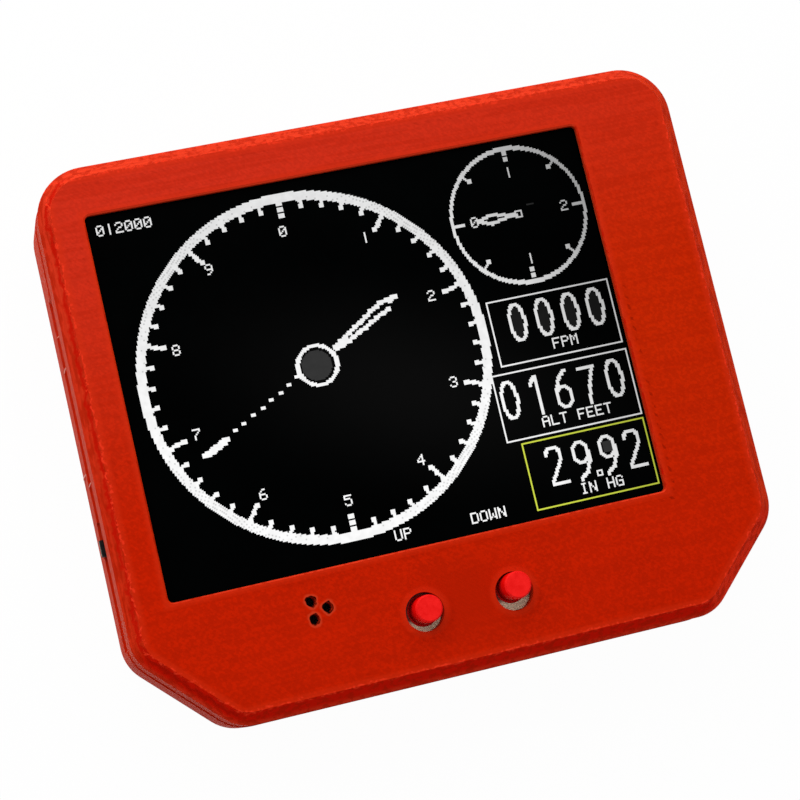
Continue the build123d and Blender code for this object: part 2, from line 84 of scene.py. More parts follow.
# The lamp and the camera in metres. The camera's axes point to its right, up and back
LAMP_PLACE = (-0.06, 0.25, 0.27)
LAMP_AIM = (0, 0, 0.01)
LAMP_SIZE = (0.5, 0.36)
CAMERA_PLACE = (-0.062728, -0.033233, 0.302266)
CAMERA_AXES = (
    (0.952737, -0.231173, 0.197107),
    (0.198207, 0.964704, 0.173380),
    (-0.230230, -0.126118, 0.964929),
)
CAMERA_SHIFT = -0.0625

# How far the paper of the floor glows where it is seen, so that it comes out white
PAPER_GLOW = 0.975


class Value:
    """One number in a node tree, with plain arithmetic."""

    def __init__(self, wiring, socket):
        self.wiring = wiring
        self.socket = socket

    def __add__(self, other):
        return self.wiring.math("ADD", self, other)

    def __sub__(self, other):
        return self.wiring.math("SUBTRACT", self, other)

    def __rsub__(self, other):
        return self.wiring.math("SUBTRACT", other, self)

    def __mul__(self, other):
        return self.wiring.math("MULTIPLY", self, other)

    def __abs__(self):
        return self.wiring.math("ABSOLUTE", self)

    def ease(self, low, high, start, end):
        """A smooth step: start below low, end above high."""
        inputs = dict(enumerate((self, low, high, start, end)))
        node = self.wiring.add("ShaderNodeMapRange", inputs, interpolation_type="SMOOTHSTEP", clamp=True)
        return Value(self.wiring, node.outputs[0])

    def rise(self, low, high, end=1.0):
        return self.ease(low, high, 0.0, end)

    def fall(self, low, high, start=1.0):
        return self.ease(low, high, start, 0.0)

    def wave(self, pitch):
        """A ripple from 0 to 1 with this pitch."""
        turn = self.wiring.math("COSINE", self * (2 * pi / pitch))
        return self.wiring.math("MULTIPLY_ADD", turn, 0.5, 0.5)


class Wiring:
    """Adds nodes to one node tree and joins them."""

    def __init__(self, tree):
        self.tree = tree

    def add(self, kind, inputs=None, **settings):
        """A node with these settings and these inputs, by name or number."""
        node = self.tree.nodes.new(kind)
        for name, value in settings.items():
            setattr(node, name, value)
        for name, value in (inputs or {}).items():
            self.feed(node.inputs[name], value)
        return node

    def feed(self, socket, value):
        if isinstance(value, Value):
            value = value.socket
        if isinstance(value, bpy.types.NodeSocket):
            self.tree.links.new(value, socket)
        else:
            socket.default_value = value

    def math(self, operation, *values):
        node = self.add("ShaderNodeMath", dict(enumerate(values)), operation=operation)
        return Value(self, node.outputs[0])

    def fold(self, operation, first, *rest):
        """The operation on all the values, two at a time."""
        for value in rest:
            first = self.math(operation, first, value)
        return first

    def least(self, *values):
        return self.fold("MINIMUM", *values)

    def most(self, *values):
        return self.fold("MAXIMUM", *values)

    def distance(self, a, b):
        """How far a step of a one way and b across it leads."""
        return self.math("SQRT", a * a + b * b)


class Finish(Wiring):
    """One material: a principled surface fed by patterns on the object's own place, in millimetres."""

    def __init__(self, name, shine=0.5, **constants):
        self.material = bpy.data.materials.new(name)
        self.material.use_nodes = True
        super().__init__(self.material.node_tree)
        self.surface = self.tree.nodes["Principled BSDF"]
        self.feed(self.surface.inputs["Specular IOR Level"], shine)
        for name, value in constants.items():
            self.feed(self.surface.inputs[name.replace("_", " ")], value)
        self.source = self.add("ShaderNodeTexCoord")
        inputs = {0: self.source.outputs["Object"], "Scale": 1 / MM}
        scaled = self.add("ShaderNodeVectorMath", inputs, operation="SCALE")
        self.place = scaled.outputs[0]
        self.x, self.y, self.z = self.split(self.place)

    def split(self, vector):
        """The three numbers of a vector."""
        node = self.add("ShaderNodeSeparateXYZ", {0: vector})
        return [Value(self, output) for output in node.outputs]

    def normal(self):
        return self.split(self.source.outputs["Normal"])

    def pattern(self, kind, scale, stretch, turn=0.0):
        """A texture with this many cells to a millimetre, drawn out along an axis by a small stretch."""
        inputs = {"Vector": self.place, "Scale": stretch, "Rotation": (0, 0, turn)}
        mapping = self.add("ShaderNodeMapping", inputs)
        return self.add(kind, {"Vector": mapping.outputs[0], "Scale": scale})

    def noise(self, scale, detail=2.0, stretch=(1, 1, 1), turn=0.0):
        """Cloudy noise."""
        node = self.pattern("ShaderNodeTexNoise", scale, stretch, turn)
        node.inputs["Detail"].default_value = detail
        return Value(self, node.outputs["Fac"])

    def cells(self, scale, stretch=(1, 1, 1)):
        """Distance from the middle of the nearest cell."""
        node = self.pattern("ShaderNodeTexVoronoi", scale, stretch)
        return Value(self, node.outputs["Distance"])

    def ramp(self, value, *stops):
        """A colour for a value: stops are (place, colour)."""
        node = self.add("ShaderNodeValToRGB", {0: value})
        band = node.color_ramp
        while len(band.elements) < len(stops):
            band.elements.new(0.5)
        for element, (place, color) in zip(band.elements, stops):
            element.position = place
            element.color = (*color[:3], 1)
        return node.outputs[0]

    def mix(self, factor, a, b):
        """The first colour where the factor is 0, and the second where it is 1."""
        a, b = ((*color[:3], 1) if isinstance(color, tuple) else color for color in (a, b))
        return self.add("ShaderNodeMix", {"Factor": factor, 6: a, 7: b}, data_type="RGBA").outputs[2]

    def color(self, value):
        self.feed(self.surface.inputs["Base Color"], value)

    def roughness(self, value):
        self.feed(self.surface.inputs["Roughness"], value)

    def relief(self, height, depth):
        """Bump of this depth in millimetres."""
        bump = self.add("ShaderNodeBump", {"Height": height, "Distance": depth * MM})
        self.feed(self.surface.inputs["Normal"], bump.outputs[0])

    def follow(self, pattern, low, high, rough, depth, height=None):
        """Lets colour, roughness and bump follow one pattern. Low and high are stops of the colour."""
        tone = self.ramp(pattern, low, high)
        self.color(tone)
        self.roughness(pattern.ease(0.3, 0.7, *rough))
        self.relief(height or pattern, depth)
        return tone

    def dress(self, *nodes):
        """Gives the frame's own nodes this material."""
        for name in nodes:
            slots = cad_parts[name].data.materials
            slots.clear()
            slots.append(self.material)


class GroupWiring(Wiring):
    """A geometry node group: a mesh, one size and a finish go in, and a finished mesh comes out."""

    def __init__(self, name, size):
        super().__init__(bpy.data.node_groups.new(name, "GeometryNodeTree"))
        sockets = self.tree.interface
        for label, kind in (("Geometry", "Geometry"), (size, "Float"), ("Finish", "Material")):
            sockets.new_socket(label, in_out="INPUT", socket_type="NodeSocket" + kind)
        sockets.new_socket("Geometry", in_out="OUTPUT", socket_type="NodeSocketGeometry")
        self.given = self.add("NodeGroupInput").outputs

    def close(self, shape):
        """Ends the group with this shape, made real and given the finish."""
        real = self.add("GeometryNodeRealizeInstances", {0: shape})
        inputs = {"Geometry": real.outputs[0], "Material": self.given["Finish"]}
        paint = self.add("GeometryNodeSetMaterial", inputs)
        self.add("NodeGroupOutput", {0: paint.outputs[0]})
        return self.tree


def shade(color, factor):
    """The same colour, darker or lighter."""
    return tuple(min(1.0, channel * factor) for channel in color[:3])


def new_object(name, data):
    """An object with this data, in the scene."""
    thing = bpy.data.objects.new(name, data)
    bpy.context.scene.collection.objects.link(thing)
    return thing


def drawn_mesh(name, points, edges=(), faces=()):
    """An object with this mesh, its points in millimetres."""
    mesh = bpy.data.meshes.new(name)
    mesh.from_pydata([Vector(point) * MM for point in points], edges, faces)
    mesh.update()
    return new_object(name, mesh)


def grow(base, group, name, inputs):
    """Runs a node group on a base mesh and returns the plain mesh that it makes."""
    modifier = base.modifiers.new(group.name, "NODES")
    modifier.node_group = group
    for item in group.interface.items_tree:
        if item.in_out == "INPUT" and item.name in inputs:
            modifier[item.identifier] = inputs[item.name]
    bpy.context.view_layer.update()
    evaluated = base.evaluated_get(bpy.context.evaluated_depsgraph_get())
    mesh = bpy.data.meshes.new_from_object(evaluated)
    mesh.name = name
    piece = new_object(name, mesh)
    base.modifiers.remove(modifier)
    bpy.data.objects.remove(base)
    if not mesh.polygons:
        raise RuntimeError(f"{name} has no faces")
    return piece


def cells_group():
    """One flat cell for each point, as wide as the point's span of dots."""
    wiring = GroupWiring("Lit cells", "Pitch")
    pitch = wiring.given["Pitch"]
    sides = {"Vertices X": 2, "Vertices Y": 2, "Size X": pitch, "Size Y": pitch}
    cell = wiring.add("GeometryNodeMeshGrid", sides)
    span = wiring.add("GeometryNodeInputNamedAttribute", {"Name": "span"}, data_type="FLOAT")
    size = wiring.add("ShaderNodeCombineXYZ", {"X": span.outputs["Attribute"], "Y": 1, "Z": 1})
    inputs = {"Points": wiring.given["Geometry"], "Instance": cell.outputs["Mesh"], "Scale": size.outputs[0]}
    return wiring.close(wiring.add("GeometryNodeInstanceOnPoints", inputs).outputs[0])


def strings_group():
    """A thin round hair of plastic along each edge of the base."""
    wiring = GroupWiring("Print strings", "Thickness")
    path = wiring.add("GeometryNodeMeshToCurve", {"Mesh": wiring.given["Geometry"]})
    inputs = {"Resolution": 8, "Radius": wiring.math("MULTIPLY", wiring.given["Thickness"], 0.5)}
    ring = wiring.add("GeometryNodeCurvePrimitiveCircle", inputs, mode="RADIUS")
    inputs = {"Curve": path.outputs[0], "Profile Curve": ring.outputs[0], "Fill Caps": True}
    return wiring.close(wiring.add("GeometryNodeCurveToMesh", inputs).outputs[0])


class Picture:
    """Dots that are lit on the screen, drawn by rule."""

    def __init__(self):
        self.dots = set()

    def dot(self, x, y):
        if 0 <= x < DOTS_WIDE and 0 <= y < DOTS_HIGH:
            self.dots.add((int(x), int(y)))

    def block(self, x, y, wide, high):
        for column in range(wide):
            for row in range(high):
                self.dot(x + column, y + row)

    def frame(self, x0, y0, x1, y1):
        self.block(x0, y0, x1 - x0 + 1, 1)
        self.block(x0, y1, x1 - x0 + 1, 1)
        self.block(x0, y0, 1, y1 - y0 + 1)
        self.block(x1, y0, 1, y1 - y0 + 1)

    def line(self, x0, y0, x1, y1):
        """A one-dot line, as a screen's own chip draws it."""
        steps = max(1, ceil(max(abs(x1 - x0), abs(y1 - y0))))
        for step in range(steps + 1):
            self.dot(round(x0 + (x1 - x0) * step / steps), round(y0 + (y1 - y0) * step / steps))

    def circle(self, cx, cy, radius):
        """A one-dot circle by the midpoint rule."""
        x, y, error = radius, 0, 1 - radius
        while x >= y:
            for dx, dy in ((x, y), (y, x)):
                for sx, sy in ((1, 1), (1, -1), (-1, 1), (-1, -1)):
                    self.dot(cx + sx * dx, cy + sy * dy)
            y += 1
            if error < 0:
                error += 2 * y + 1
            else:
                x -= 1
                error += 2 * (y - x) + 1

    def disc(self, cx, cy, radius, hollow=-1.0):
        """Every dot out to this radius, with none as near as the hollow one."""
        reach = ceil(radius)
        for row in range(-reach, reach + 1):
            for column in range(-reach, reach + 1):
                if hollow < hypot(row, column) <= radius:
                    self.dot(cx + column, cy + row)

    def stroke(self, points, width, bead=0):
        """A thick line through points. With a bead, every fifth mark of the pen is that much wider."""
        for (x0, y0), (x1, y1) in zip(points, points[1:]):
            steps = max(1, ceil(hypot(x1 - x0, y1 - y0)))
            for step in range(steps + 1):
                x = x0 + (x1 - x0) * step / steps
                y = y0 + (y1 - y0) * step / steps
                pen = width + bead if step % 5 == 0 else width
                low = (pen - 2) / 2
                self.block(floor(x - low), floor(y - low), pen, pen)

    def text(self, words, x, y):
        """Small letters, five dots wide and seven high, from this top left corner."""
        for index, letter in enumerate(words):
            for row, line in enumerate(LETTERS[letter].split()):
                for column, mark in enumerate(line):
                    if mark == "#":
                        self.dot(round(x) + 6 * index + column, round(y) + row)

    def runs(self):
        """Neighbouring dots in a row joined into spans: (first dot, row, length)."""
        spans = []
        for x, y in sorted(self.dots, key=lambda dot: (dot[1], dot[0])):
            if spans and spans[-1][1] == y and spans[-1][0] + spans[-1][2] == x:
                spans[-1][2] += 1
            else:
                spans.append([x, y, 1])
        return spans


LETTERS = {
    " ": "..... ..... ..... ..... ..... ..... .....",
    "0": ".###. #...# #..## #.#.# ##..# #...# .###.",
    "1": "..#.. ..#.. ..#.. ..#.. ..#.. ..#.. ..#..",
    "2": ".###. #...# ....# ..##. .#... #.... #####",
    "3": ".###. #...# ....# ..##. ....# #...# .###.",
    "4": "...#. ..##. .#.#. #..#. ##### ...#. ...#.",
    "5": "##### #.... ####. ....# ....# #...# .###.",
    "6": "..##. .#... #.... ####. #...# #...# .###.",
    "7": "##### ....# ...#. ..#.. .#... .#... .#...",
    "8": ".###. #...# #...# .###. #...# #...# .###.",
    "9": ".###. #...# #...# .#### ....# ...#. .##..",
    "A": ".###. #...# #...# ##### #...# #...# #...#",
    "D": "####. #...# #...# #...# #...# #...# ####.",
    "E": "##### #.... #.... ####. #.... #.... #####",
    "F": "##### #.... #.... ####. #.... #.... #....",
    "G": ".###. #...# #.... #.### #...# #...# .####",
    "H": "#...# #...# #...# ##### #...# #...# #...#",
    "I": ".###. ..#.. ..#.. ..#.. ..#.. ..#.. .###.",
    "L": "#.... #.... #.... #.... #.... #.... #####",
    "M": "#...# ##.## #.#.# #.#.# #...# #...# #...#",
    "N": "#...# ##..# ##..# #.#.# #..## #..## #...#",
    "O": ".###. #...# #...# #...# #...# #...# .###.",
    "P": "####. #...# #...# ####. #.... #.... #....",
    "T": "##### ..#.. ..#.. ..#.. ..#.. ..#.. ..#..",
    "U": "#...# #...# #...# #...# #...# #...# .###.",
    "W": "#...# #...# #...# #.#.# #.#.# ##.## #...#",
}


def arc(cx, cy, wide, high, start, end):
    """Points along an oval, angles in degrees clockwise from the top."""
    count = max(2, ceil(abs(end - start) / 12))
    points = []
    for index in range(count + 1):
        angle = radians(start + (end - start) * index / count)
        points.append((cx + wide * sin(angle), cy - high * cos(angle)))
    return points


def big_digit(digit):
    """The strokes of a tall narrow digit in a cell 13 dots wide and 26 high."""
    if digit == "0":
        return [arc(6.2, 13, 4.9, 11.7, 0, 360)]
    if digit == "1":
        return [[(3, 6), (7, 1), (7, 25)]]
    if digit == "2":
        return [arc(6, 7, 5, 6, -80, 110) + [(2, 24), (12, 24)]]
    if digit == "6":
        return [arc(6, 18, 5, 6.5, 0, 360), [(9, 1), (5, 5), (2, 12), (1, 18)]]
    if digit == "7":
        return [[(1, 2), (11, 2), (7, 14), (5, 25)]]
    return [arc(6, 8, 5, 6.5, 0, 360), [(11, 8), (11, 14), (8, 21), (3, 25)]]


def draw_dial(lit, soft):
    """The large dial: ring, fifty divisions, ten numbers, hub and two hands."""
    cx, cy = DIAL_CENTER
    for radius in range(107, 113):
        lit.circle(cx, cy, radius)
    soft.disc(cx, cy, 112.2, hollow=106.6)
    # The divisions at the top and bottom are short columns of blocks
    for step in range(3):
        lit.block(cx - 2, cy - 97 - 4 * step - 2, 4, 3)
        lit.block(cx - 2, cy + 97 + 4 * step - 1, 4, 3)
    for index in range(50):
        if index % 25 == 0:
            continue
        angle = 2 * pi * index / 50
        inner = 96 if index % 5 == 0 else 103
        x, y = sin(angle), -cos(angle)
        lit.stroke([(cx + inner * x, cy + inner * y), (cx + 108 * x, cy + 108 * y)], 2, bead=1)
    numbers = (
        (118, 32), (169, 46), (202, 91), (203, 148), (171, 192),
        (120, 207), (69, 192), (37, 147), (36, 93), (67, 47),
    )
    for number, (x, y) in enumerate(numbers):
        lit.text(str(number), x - 2, y - 3)
    for radius in (12, 13):
        lit.circle(cx, cy, radius)
        lit.circle(cx + 1, cy, radius)
    # Short hand: a long hollow wedge
    tip = Vector((179, 87))
    root = Vector((134.6, 111.6))
    way = (tip - root).normalized()
    side = Vector((-way.y, way.x))
    thin = root + way * 13
    wide = root + way * 40
    upper = [root - side, thin - side * 1.9, wide - side * 3.2, tip]
    lower = [root + side, thin + side * 1.9, wide + side * 3.1 + way * 3]
    for outline in (upper, lower, [root, root + way * 8], [tip - way * 5, tip]):
        lit.stroke([tuple(point) for point in outline], 2, bead=1)
    # Long hand: a row of dots with a bar at its end
    for index in range(7):
        x = 100.2 - index * 6.55
        y = 129.4 + index * 3.5
        lit.block(round(x) - 1, round(y) - 1, 3, 2)
    lit.stroke([(54.7, 153.6), (39.4, 161.2)], 3)
    lit.stroke([(53, 155.6), (42, 160.8)], 3)
    lit.block(105, 124, 3, 2)


def draw_small_dial(lit):
    """The small dial: ring, eight divisions, four numbers and a hollow needle."""
    cx, cy = SMALL_DIAL_CENTER
    for radius in (44, 45):
        lit.circle(cx, cy, radius)
        lit.circle(cx, cy + 1, radius)
    for step in (37, 41):
        lit.block(cx - 1, cy - step - 1, 3, 3)
        lit.block(cx - 1, cy + step - 1, 3, 3)
    for index in range(8):
        if index % 4 == 0:
            continue
        angle = 2 * pi * index / 8
        x, y = sin(angle), -cos(angle)
        inner = 37 if index % 2 == 0 else 38
        for turn in (0, 1):
            start = (cx + inner * x, cy + inner * y + turn)
            lit.line(*start, cx + 44 * x, cy + 44 * y + turn)
        if index % 2:
            lit.stroke([(cx + inner * x, cy + inner * y)] * 2, 3)
    for number, (x, y) in zip("1210", ((271, 22), (302, 50), (272, 80), (241, 50))):
        lit.text(number, x - 2, y - 3)
    needle = [(269, 50), (259, 48.5), (252, 47), (244, 50), (252, 53), (259, 51.5), (269, 50)]
    lit.stroke(needle, 2)
    lit.stroke([(269, 48), (273, 48), (273, 52), (269, 52), (269, 48)], 1)


def draw_readouts(lit, dim, faint):
    """Three boxes of tall digits, with the dim insides that the screen shows."""
    for digits, left, top in (("0000", 247, 106), ("01670", 230, 154), ("2992", 249, 201)):
        for index, digit in enumerate(digits):
            x = left + round(index * DIGIT_PITCH)
            for points in big_digit(digit):
                lit.stroke([(x + px, top + py) for px, py in points], 2)
            if digits == "0000":
                for row in range(-9, 10):
                    reach = int(3.6 * sqrt(1 - (row / 10.5) ** 2))
                    faint.block(x + 6 - reach, top + 13 + row, 2 * reach + 1, 1)
    # The closed loop of the chosen reading's third digit, and the reading's point
    dim.block(289, 206, 6, 7)
    lit.frame(281, 223, 284, 226)
    labels = (
        ("FPM", 273, 134), ("ALT FEET", 254, 182), ("IN HG", 268, 229),
        ("UP", 144, 232), ("DOWN", 194, 232), ("012000", 4, 7),
    )
    for words, x, y in labels:
        lit.text(words, x, y)
    lit.frame(236, 103, 318, 145)
    lit.frame(228, 150, 319, 193)


def cell_piece(name, picture, material):
    """Adds the lit dots of one tone as flat cells on the screen."""
    left = PICTURE_CENTER[0] - DOTS_WIDE * DOT_PITCH / 2
    top = PICTURE_CENTER[1] + DOTS_HIGH * DOT_PITCH / 2
    spans = picture.runs()
    points = []
    for x, y, length in spans:
        place = (left + (x + length / 2) * DOT_PITCH, top - (y + 0.5) * DOT_PITCH, SCREEN_TOP + DOT_LIFT)
        points.append(place)
    base = drawn_mesh(name + "_points", points)
    span = base.data.attributes.new("span", "FLOAT", "POINT")
    span.data.foreach_set("value", [float(length) for _, _, length in spans])
    piece = grow(base, cells_group(), name, {"Pitch": DOT_PITCH * MM, "Finish": material})
    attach(piece, "case")


def color_setting(name, description, color):
    """A colour that the panel shows."""
    return FloatVectorProperty(
        name=name, description=description, default=color, subtype="COLOR", min=0, max=1,
    )


def number_setting(name, description, default, low=0.0, unit="NONE"):
    """A number that the panel shows."""
    return FloatProperty(name=name, description=description, default=default, min=low, unit=unit)


class PrintSettings(PropertyGroup):
    """How the shells were printed."""

    color: color_setting("Print colour", "Colour of the printed shells", (0.510, 0.0122, 0.0003))
    layer: number_setting("Layer height", "Height of one printed layer, in millimetres", 0.28, 0.05)
    track: number_setting("Track width", "Width of one printed track, in millimetres", 0.45, 0.1)
    band: number_setting("Edge band", "Width of the tracks along each edge, in millimetres", 1.05, 0.1)
    string: number_setting("String thickness", "Thickness of the print strings", 0.00014, unit="LENGTH")


class ScreenSettings(PropertyGroup):
    """How the screen is lit."""

    lit: color_setting("Lit dots", "Colour of the lit dots", (1.0, 1.0, 1.0))
    soft: color_setting("Soft dots", "Colour of the half-lit dots in the ring", (0.70, 0.70, 0.70))
    dim: color_setting("Dim fill", "Colour of the dial's hub", (0.037, 0.037, 0.037))
    faint: color_setting("Faint fill", "Colour inside the zeros", (0.012, 0.012, 0.012))
    chosen: color_setting("Chosen box", "Colour of the box round the chosen reading", (0.66, 0.74, 0.070))
    film: color_setting("Film", "Colour of the screen where nothing is lit", (0.0002, 0.0003, 0.0003))


class ButtonSettings(PropertyGroup):
    """The push buttons and the slide switch."""

    plunger: color_setting("Plunger", "Colour of the plungers", (1.0, 0.0075, 0.0062))
    plate: color_setting("Plate", "Colour of the switches' cover plates", (0.44, 0.36, 0.26))


class StageSettings(PropertyGroup):
    """Lamp, surroundings and camera."""

    key_power: number_setting("Key lamp", "Power of the soft lamp above the case", 1.4, unit="POWER")
    sky: number_setting("Surroundings", "Strength of the white surroundings on the object", 0.42)
    lens: number_setting("Lens", "Focal length in millimetres", 102.695, 1.0)


class PrintedFinish(Finish):
    """The shells' plastic: tracks on the face, layers on the walls and rough steps on the chamfer, with
    painted highlights and shade.
    """

    def __init__(self, settings):
        super().__init__("printed_red", 0.010)
        self.red = tuple(settings.color)
        self.measure_edges()
        self.measure_slopes()
        self.lay_tracks(settings)
        self.tone_body(settings.band)
        self.tone_walls()
        self.tone_chamfer()
        self.tone_openings()
        self.color(self.body)
        self.raise_tracks()

    def tint(self, red, green, blue):
        """The print colour with its red and green scaled, and with this blue."""
        return (self.red[0] * red, self.red[1] * green, blue)

    def cover(self, amount, color):
        """Mixes this much of a colour over what is there."""
        self.body = self.mix(amount, self.body, color)

    def measure_edges(self):
        """Distance in from the face's outer edge, and out from the window and the button holes."""
        across = abs(self.x)
        side = HALF_WIDTH - CHAMFER - across
        end = HALF_HEIGHT - CHAMFER - abs(self.y)
        cut_sum = HALF_WIDTH + HALF_HEIGHT - CORNER_CUT - CHAMFER * sqrt(2)
        cut = (cut_sum - across + self.y) * sqrt(0.5)
        self.outer = self.least(side, end, cut)
        # The back has neither window nor holes, so there they count as far away
        self.far_behind = self.z.fall(4.0, 5.0, 50.0)
        window_x = abs(self.x - WINDOW_CENTER[0]) - WINDOW_HALF[0]
        window_y = abs(self.y - WINDOW_CENTER[1]) - WINDOW_HALF[1]
        self.window = self.most(window_x, window_y) + self.far_behind
        hole = self.distance(across - BUTTON_X, self.y - BUTTON_Y) - BUTTON_HOLE + self.far_behind
        self.edge = self.least(self.outer, self.window, hole)

    def measure_slopes(self):
        """Which way the surface faces: level, upright or sloping."""
        self.normal_x, self.normal_y, normal_z = self.normal()
        self.level = abs(normal_z)
        self.facing = self.level.rise(0.90, 0.97)
        self.walls = 1.0 - self.facing
        self.sloping = self.level.rise(0.3, 0.5) * self.walls

    def lay_tracks(self, settings):
        """Tracks along the edges near them, at 45 degrees elsewhere, and layers on the walls."""
        wobble = self.noise(0.7)
        slant = (self.x + self.y) * sqrt(0.5) + wobble * 0.7
        in_band = self.edge.fall(settings.band - 0.1, settings.band + 0.1)
        self.tracks = slant.wave(settings.track)
        rims = self.edge.wave(settings.track)
        self.flat_height = rims * in_band + self.tracks * (1.0 - in_band)
        self.layers = (self.z + wobble * 0.35).wave(settings.layer)
        # Pits where the slanted tracks turn back at the edge band, most of them right of the window
        pit_line = abs(self.edge - (settings.band + 0.1)).fall(0.08, 0.30)
        pit_step = slant.wave(2.3 * settings.track).rise(0.62, 0.90)
        near_right = self.x.rise(27.0, 29.0) * self.y.fall(4.0, 12.0)
        near_right = near_right * self.window.fall(2.0, 2.6)
        near_right = near_right * self.noise(0.8).rise(0.42, 0.52)
        pit_luck = self.noise(0.22).rise(0.50, 0.60, 0.30)
        self.pits = pit_line * pit_step * (self.most(pit_luck, near_right) * self.facing)
        # Fine grain all over, and streaks drawn out along each layer
        self.grain = self.noise(2.2, 3.0)
        self.streaks = self.noise(0.6, 3.0, stretch=(0.08, 0.08, 5.0))

    def tone_body(self, band):
        """Uneven red, warmer away from the buttons, with a painted pale haze of reflection towards the top
        left corner.
        """
        red = self.red
        warm = self.tint(1.0, 1.44, red[2] + 0.0002)
        hazed_red = self.tint(1.10, 2.03, red[2] + 0.0085)
        self.body = self.ramp(self.noise(0.12), (0.3, shade(red, 0.95)), (0.7, shade(red, 1.05)))
        warmth = (self.y + self.x * 0.3).rise(-25.0, 12.0)
        self.cover(warmth, warm)
        # Painted reflection: a pale pinkish haze over the red, growing towards the top left corner
        top_left_haze = (self.y - self.x * 0.25).rise(-5.0, 40.0)
        self.cover(top_left_haze, hazed_red)
        grain_color = self.mix(warmth, shade(red, 1.30), shade(warm, 1.30))
        grain_color = self.mix(top_left_haze, grain_color, shade(hazed_red, 1.20))
        self.cover(self.grain.rise(0.42, 0.62, 0.60), grain_color)
        rows = self.noise(1.0, 3.0, stretch=(0.08, 1.8, 0.2))
        self.cover(rows.rise(0.45, 0.60, 0.23), shade(red, 0.82))
        # Darker round the buttons
        button_patch = self.distance(self.x, (self.y - BUTTON_PATCH_Y) * 1.4)
        self.cover(button_patch.fall(2.0, 10.0, 0.8), shade(red, 0.90))
        # The tracks that follow an edge are laid slower, and a painted sheen makes them a little lighter
        rim_sheen = self.edge.fall(0.25, band, 0.45)
        self.cover(rim_sheen * self.facing, self.tint(1.30, 2.3, red[2] + 0.006))

    def tone_walls(self):
        """Painted warm sheen on the upright walls, strongest on the left, and streaks on the walls. Then the
        face's tracks and pits.
        """
        # Painted reflection makes the upright walls lighter and pinker, most on the left
        left_wall_sheen = self.normal_x.fall(-0.9, -0.5) * self.normal_y.rise(-0.5, -0.2)
        wall_sheen = self.mix(left_wall_sheen, self.tint(1.05, 2.5, 0.003), self.tint(1.36, 4.4, 0.013))
        self.cover((self.walls - self.sloping) * 0.8, wall_sheen)
        self.cover(self.streaks.rise(0.40, 0.62, 0.34) * self.walls, shade(self.red, 0.62))
        self.cover((1.0 - self.tracks) * (self.facing * 0.08), shade(self.red, 0.7))
        # The pits are dents, and painted shade darkens them
        self.cover(self.pits * 0.55, shade(self.red, 0.42))

    def tone_chamfer(self):
        """Painted light on the stepped layers: painted highlights at the sides and top, and painted shade,
        deep red, where they face down.
        """
        # Painted highlight on the chamfer's top and right sides
        top = self.normal_y.ease(0.3, 0.6, 0.40, 0.85)
        right = self.normal_x.ease(0.2, 0.5, 0.40, 0.80)
        shaded_low_side = self.normal_y.fall(-0.45, -0.15)
        chamfer_highlight = self.most(top, right) * self.streaks.ease(0.3, 0.7, 1.2, 0.7) * (1.0 - shaded_low_side)
        turned_right = self.normal_x.rise(0.2, 0.5)
        glint = self.mix(turned_right, self.tint(1.5, 3.6, 0.013), self.tint(1.45, 2.9, 0.004))
        self.cover(chamfer_highlight * self.sloping, glint)
        # Painted shade where the chamfer faces down, with painted highlights at its foot and on the lower
        # right cut
        shaded_low_side = shaded_low_side * self.sloping
        self.cover(shaded_low_side, self.tint(1.24, 0.55, 0.0002))
        foot_highlight = self.z.fall(FACE_Z - CHAMFER, FACE_Z - 0.9, 0.8) * shaded_low_side
        self.cover(foot_highlight, self.tint(1.30, 3.2, 0.013))
        right_cut_highlight = shaded_low_side * self.normal_x.rise(0.2, 0.4)
        self.cover(right_cut_highlight * 0.85, self.tint(1.75, 2.7, 0.008))
        smears = self.noise(1.3, 3.0, stretch=(1.0, 0.35, 1.6))
        self.cover(smears.rise(0.46, 0.60, 0.55) * self.sloping, shade(self.red, 0.76))
        # One ragged step runs round the chamfer, darkened by painted shade where it faces left
        ragged = (self.noise(0.9, 4.0) - 0.5) * 1.5
        step_level = self.normal_y.ease(-0.5, -0.2, FACE_Z - 0.6, FACE_Z - 0.4)
        step_place = abs(self.z - step_level + ragged)
        dark_step = step_place.fall(0.05, 0.42) * self.sloping
        self.dark_step = dark_step * self.normal_x.fall(-0.45, -0.15)
        turned_up = self.normal_y.rise(-0.5, -0.2)
        step_shade = self.mix(turned_up, self.tint(0.80, 0.4, 0.0), self.tint(1.04, 0.4, 0.0005))
        self.cover(self.dark_step * 0.85, step_shade)
        # Painted highlights stand as flecks along its upper edge
        rim_place = abs(self.outer - self.noise(0.9).ease(0.3, 0.7, -0.15, 0.25))
        glint_flecks = rim_place.fall(0.04, 0.22) * self.grain.rise(0.42, 0.60)
        glint_flecks = glint_flecks * self.level.rise(0.4, 0.6)
        self.cover(glint_flecks * self.normal_x.ease(-0.4, 0.0, 1.0, 0.7), self.tint(1.75, 3.3, 0.013))

    def tone_openings(self):
        """A painted highlight on the window's lip, and the sound holes ragged with a pale rim and painted
        shade at their mouths.
        """
        # Painted highlight along the window's lip where it faces down
        lip_highlight = abs(self.window).fall(0.1, 0.3, 0.8) * self.normal_y.fall(-0.6, -0.3)
        lip_highlight = lip_highlight * self.z.rise(FACE_Z - 0.7, FACE_Z - 0.3)
        self.cover(lip_highlight, self.tint(1.7, 4.5, 0.016))
        holes = []
        for turn in range(3):
            angle = 2 * pi * turn / 3
            away_x = self.x - (SOUND_CENTER[0] + SOUND_RING * cos(angle))
            away_y = self.y - (SOUND_CENTER[1] + SOUND_RING * sin(angle))
            holes.append(self.distance(away_x, away_y))
        torn = self.least(*holes) + self.far_behind + (self.noise(1.1, 3.0) - 0.5) * 0.9
        pale_rim = torn.fall(SOUND_HOLE + 0.15, SOUND_HOLE + 0.50, 0.55) * self.facing
        self.cover(pale_rim, self.tint(1.35, 5.0, 0.020))
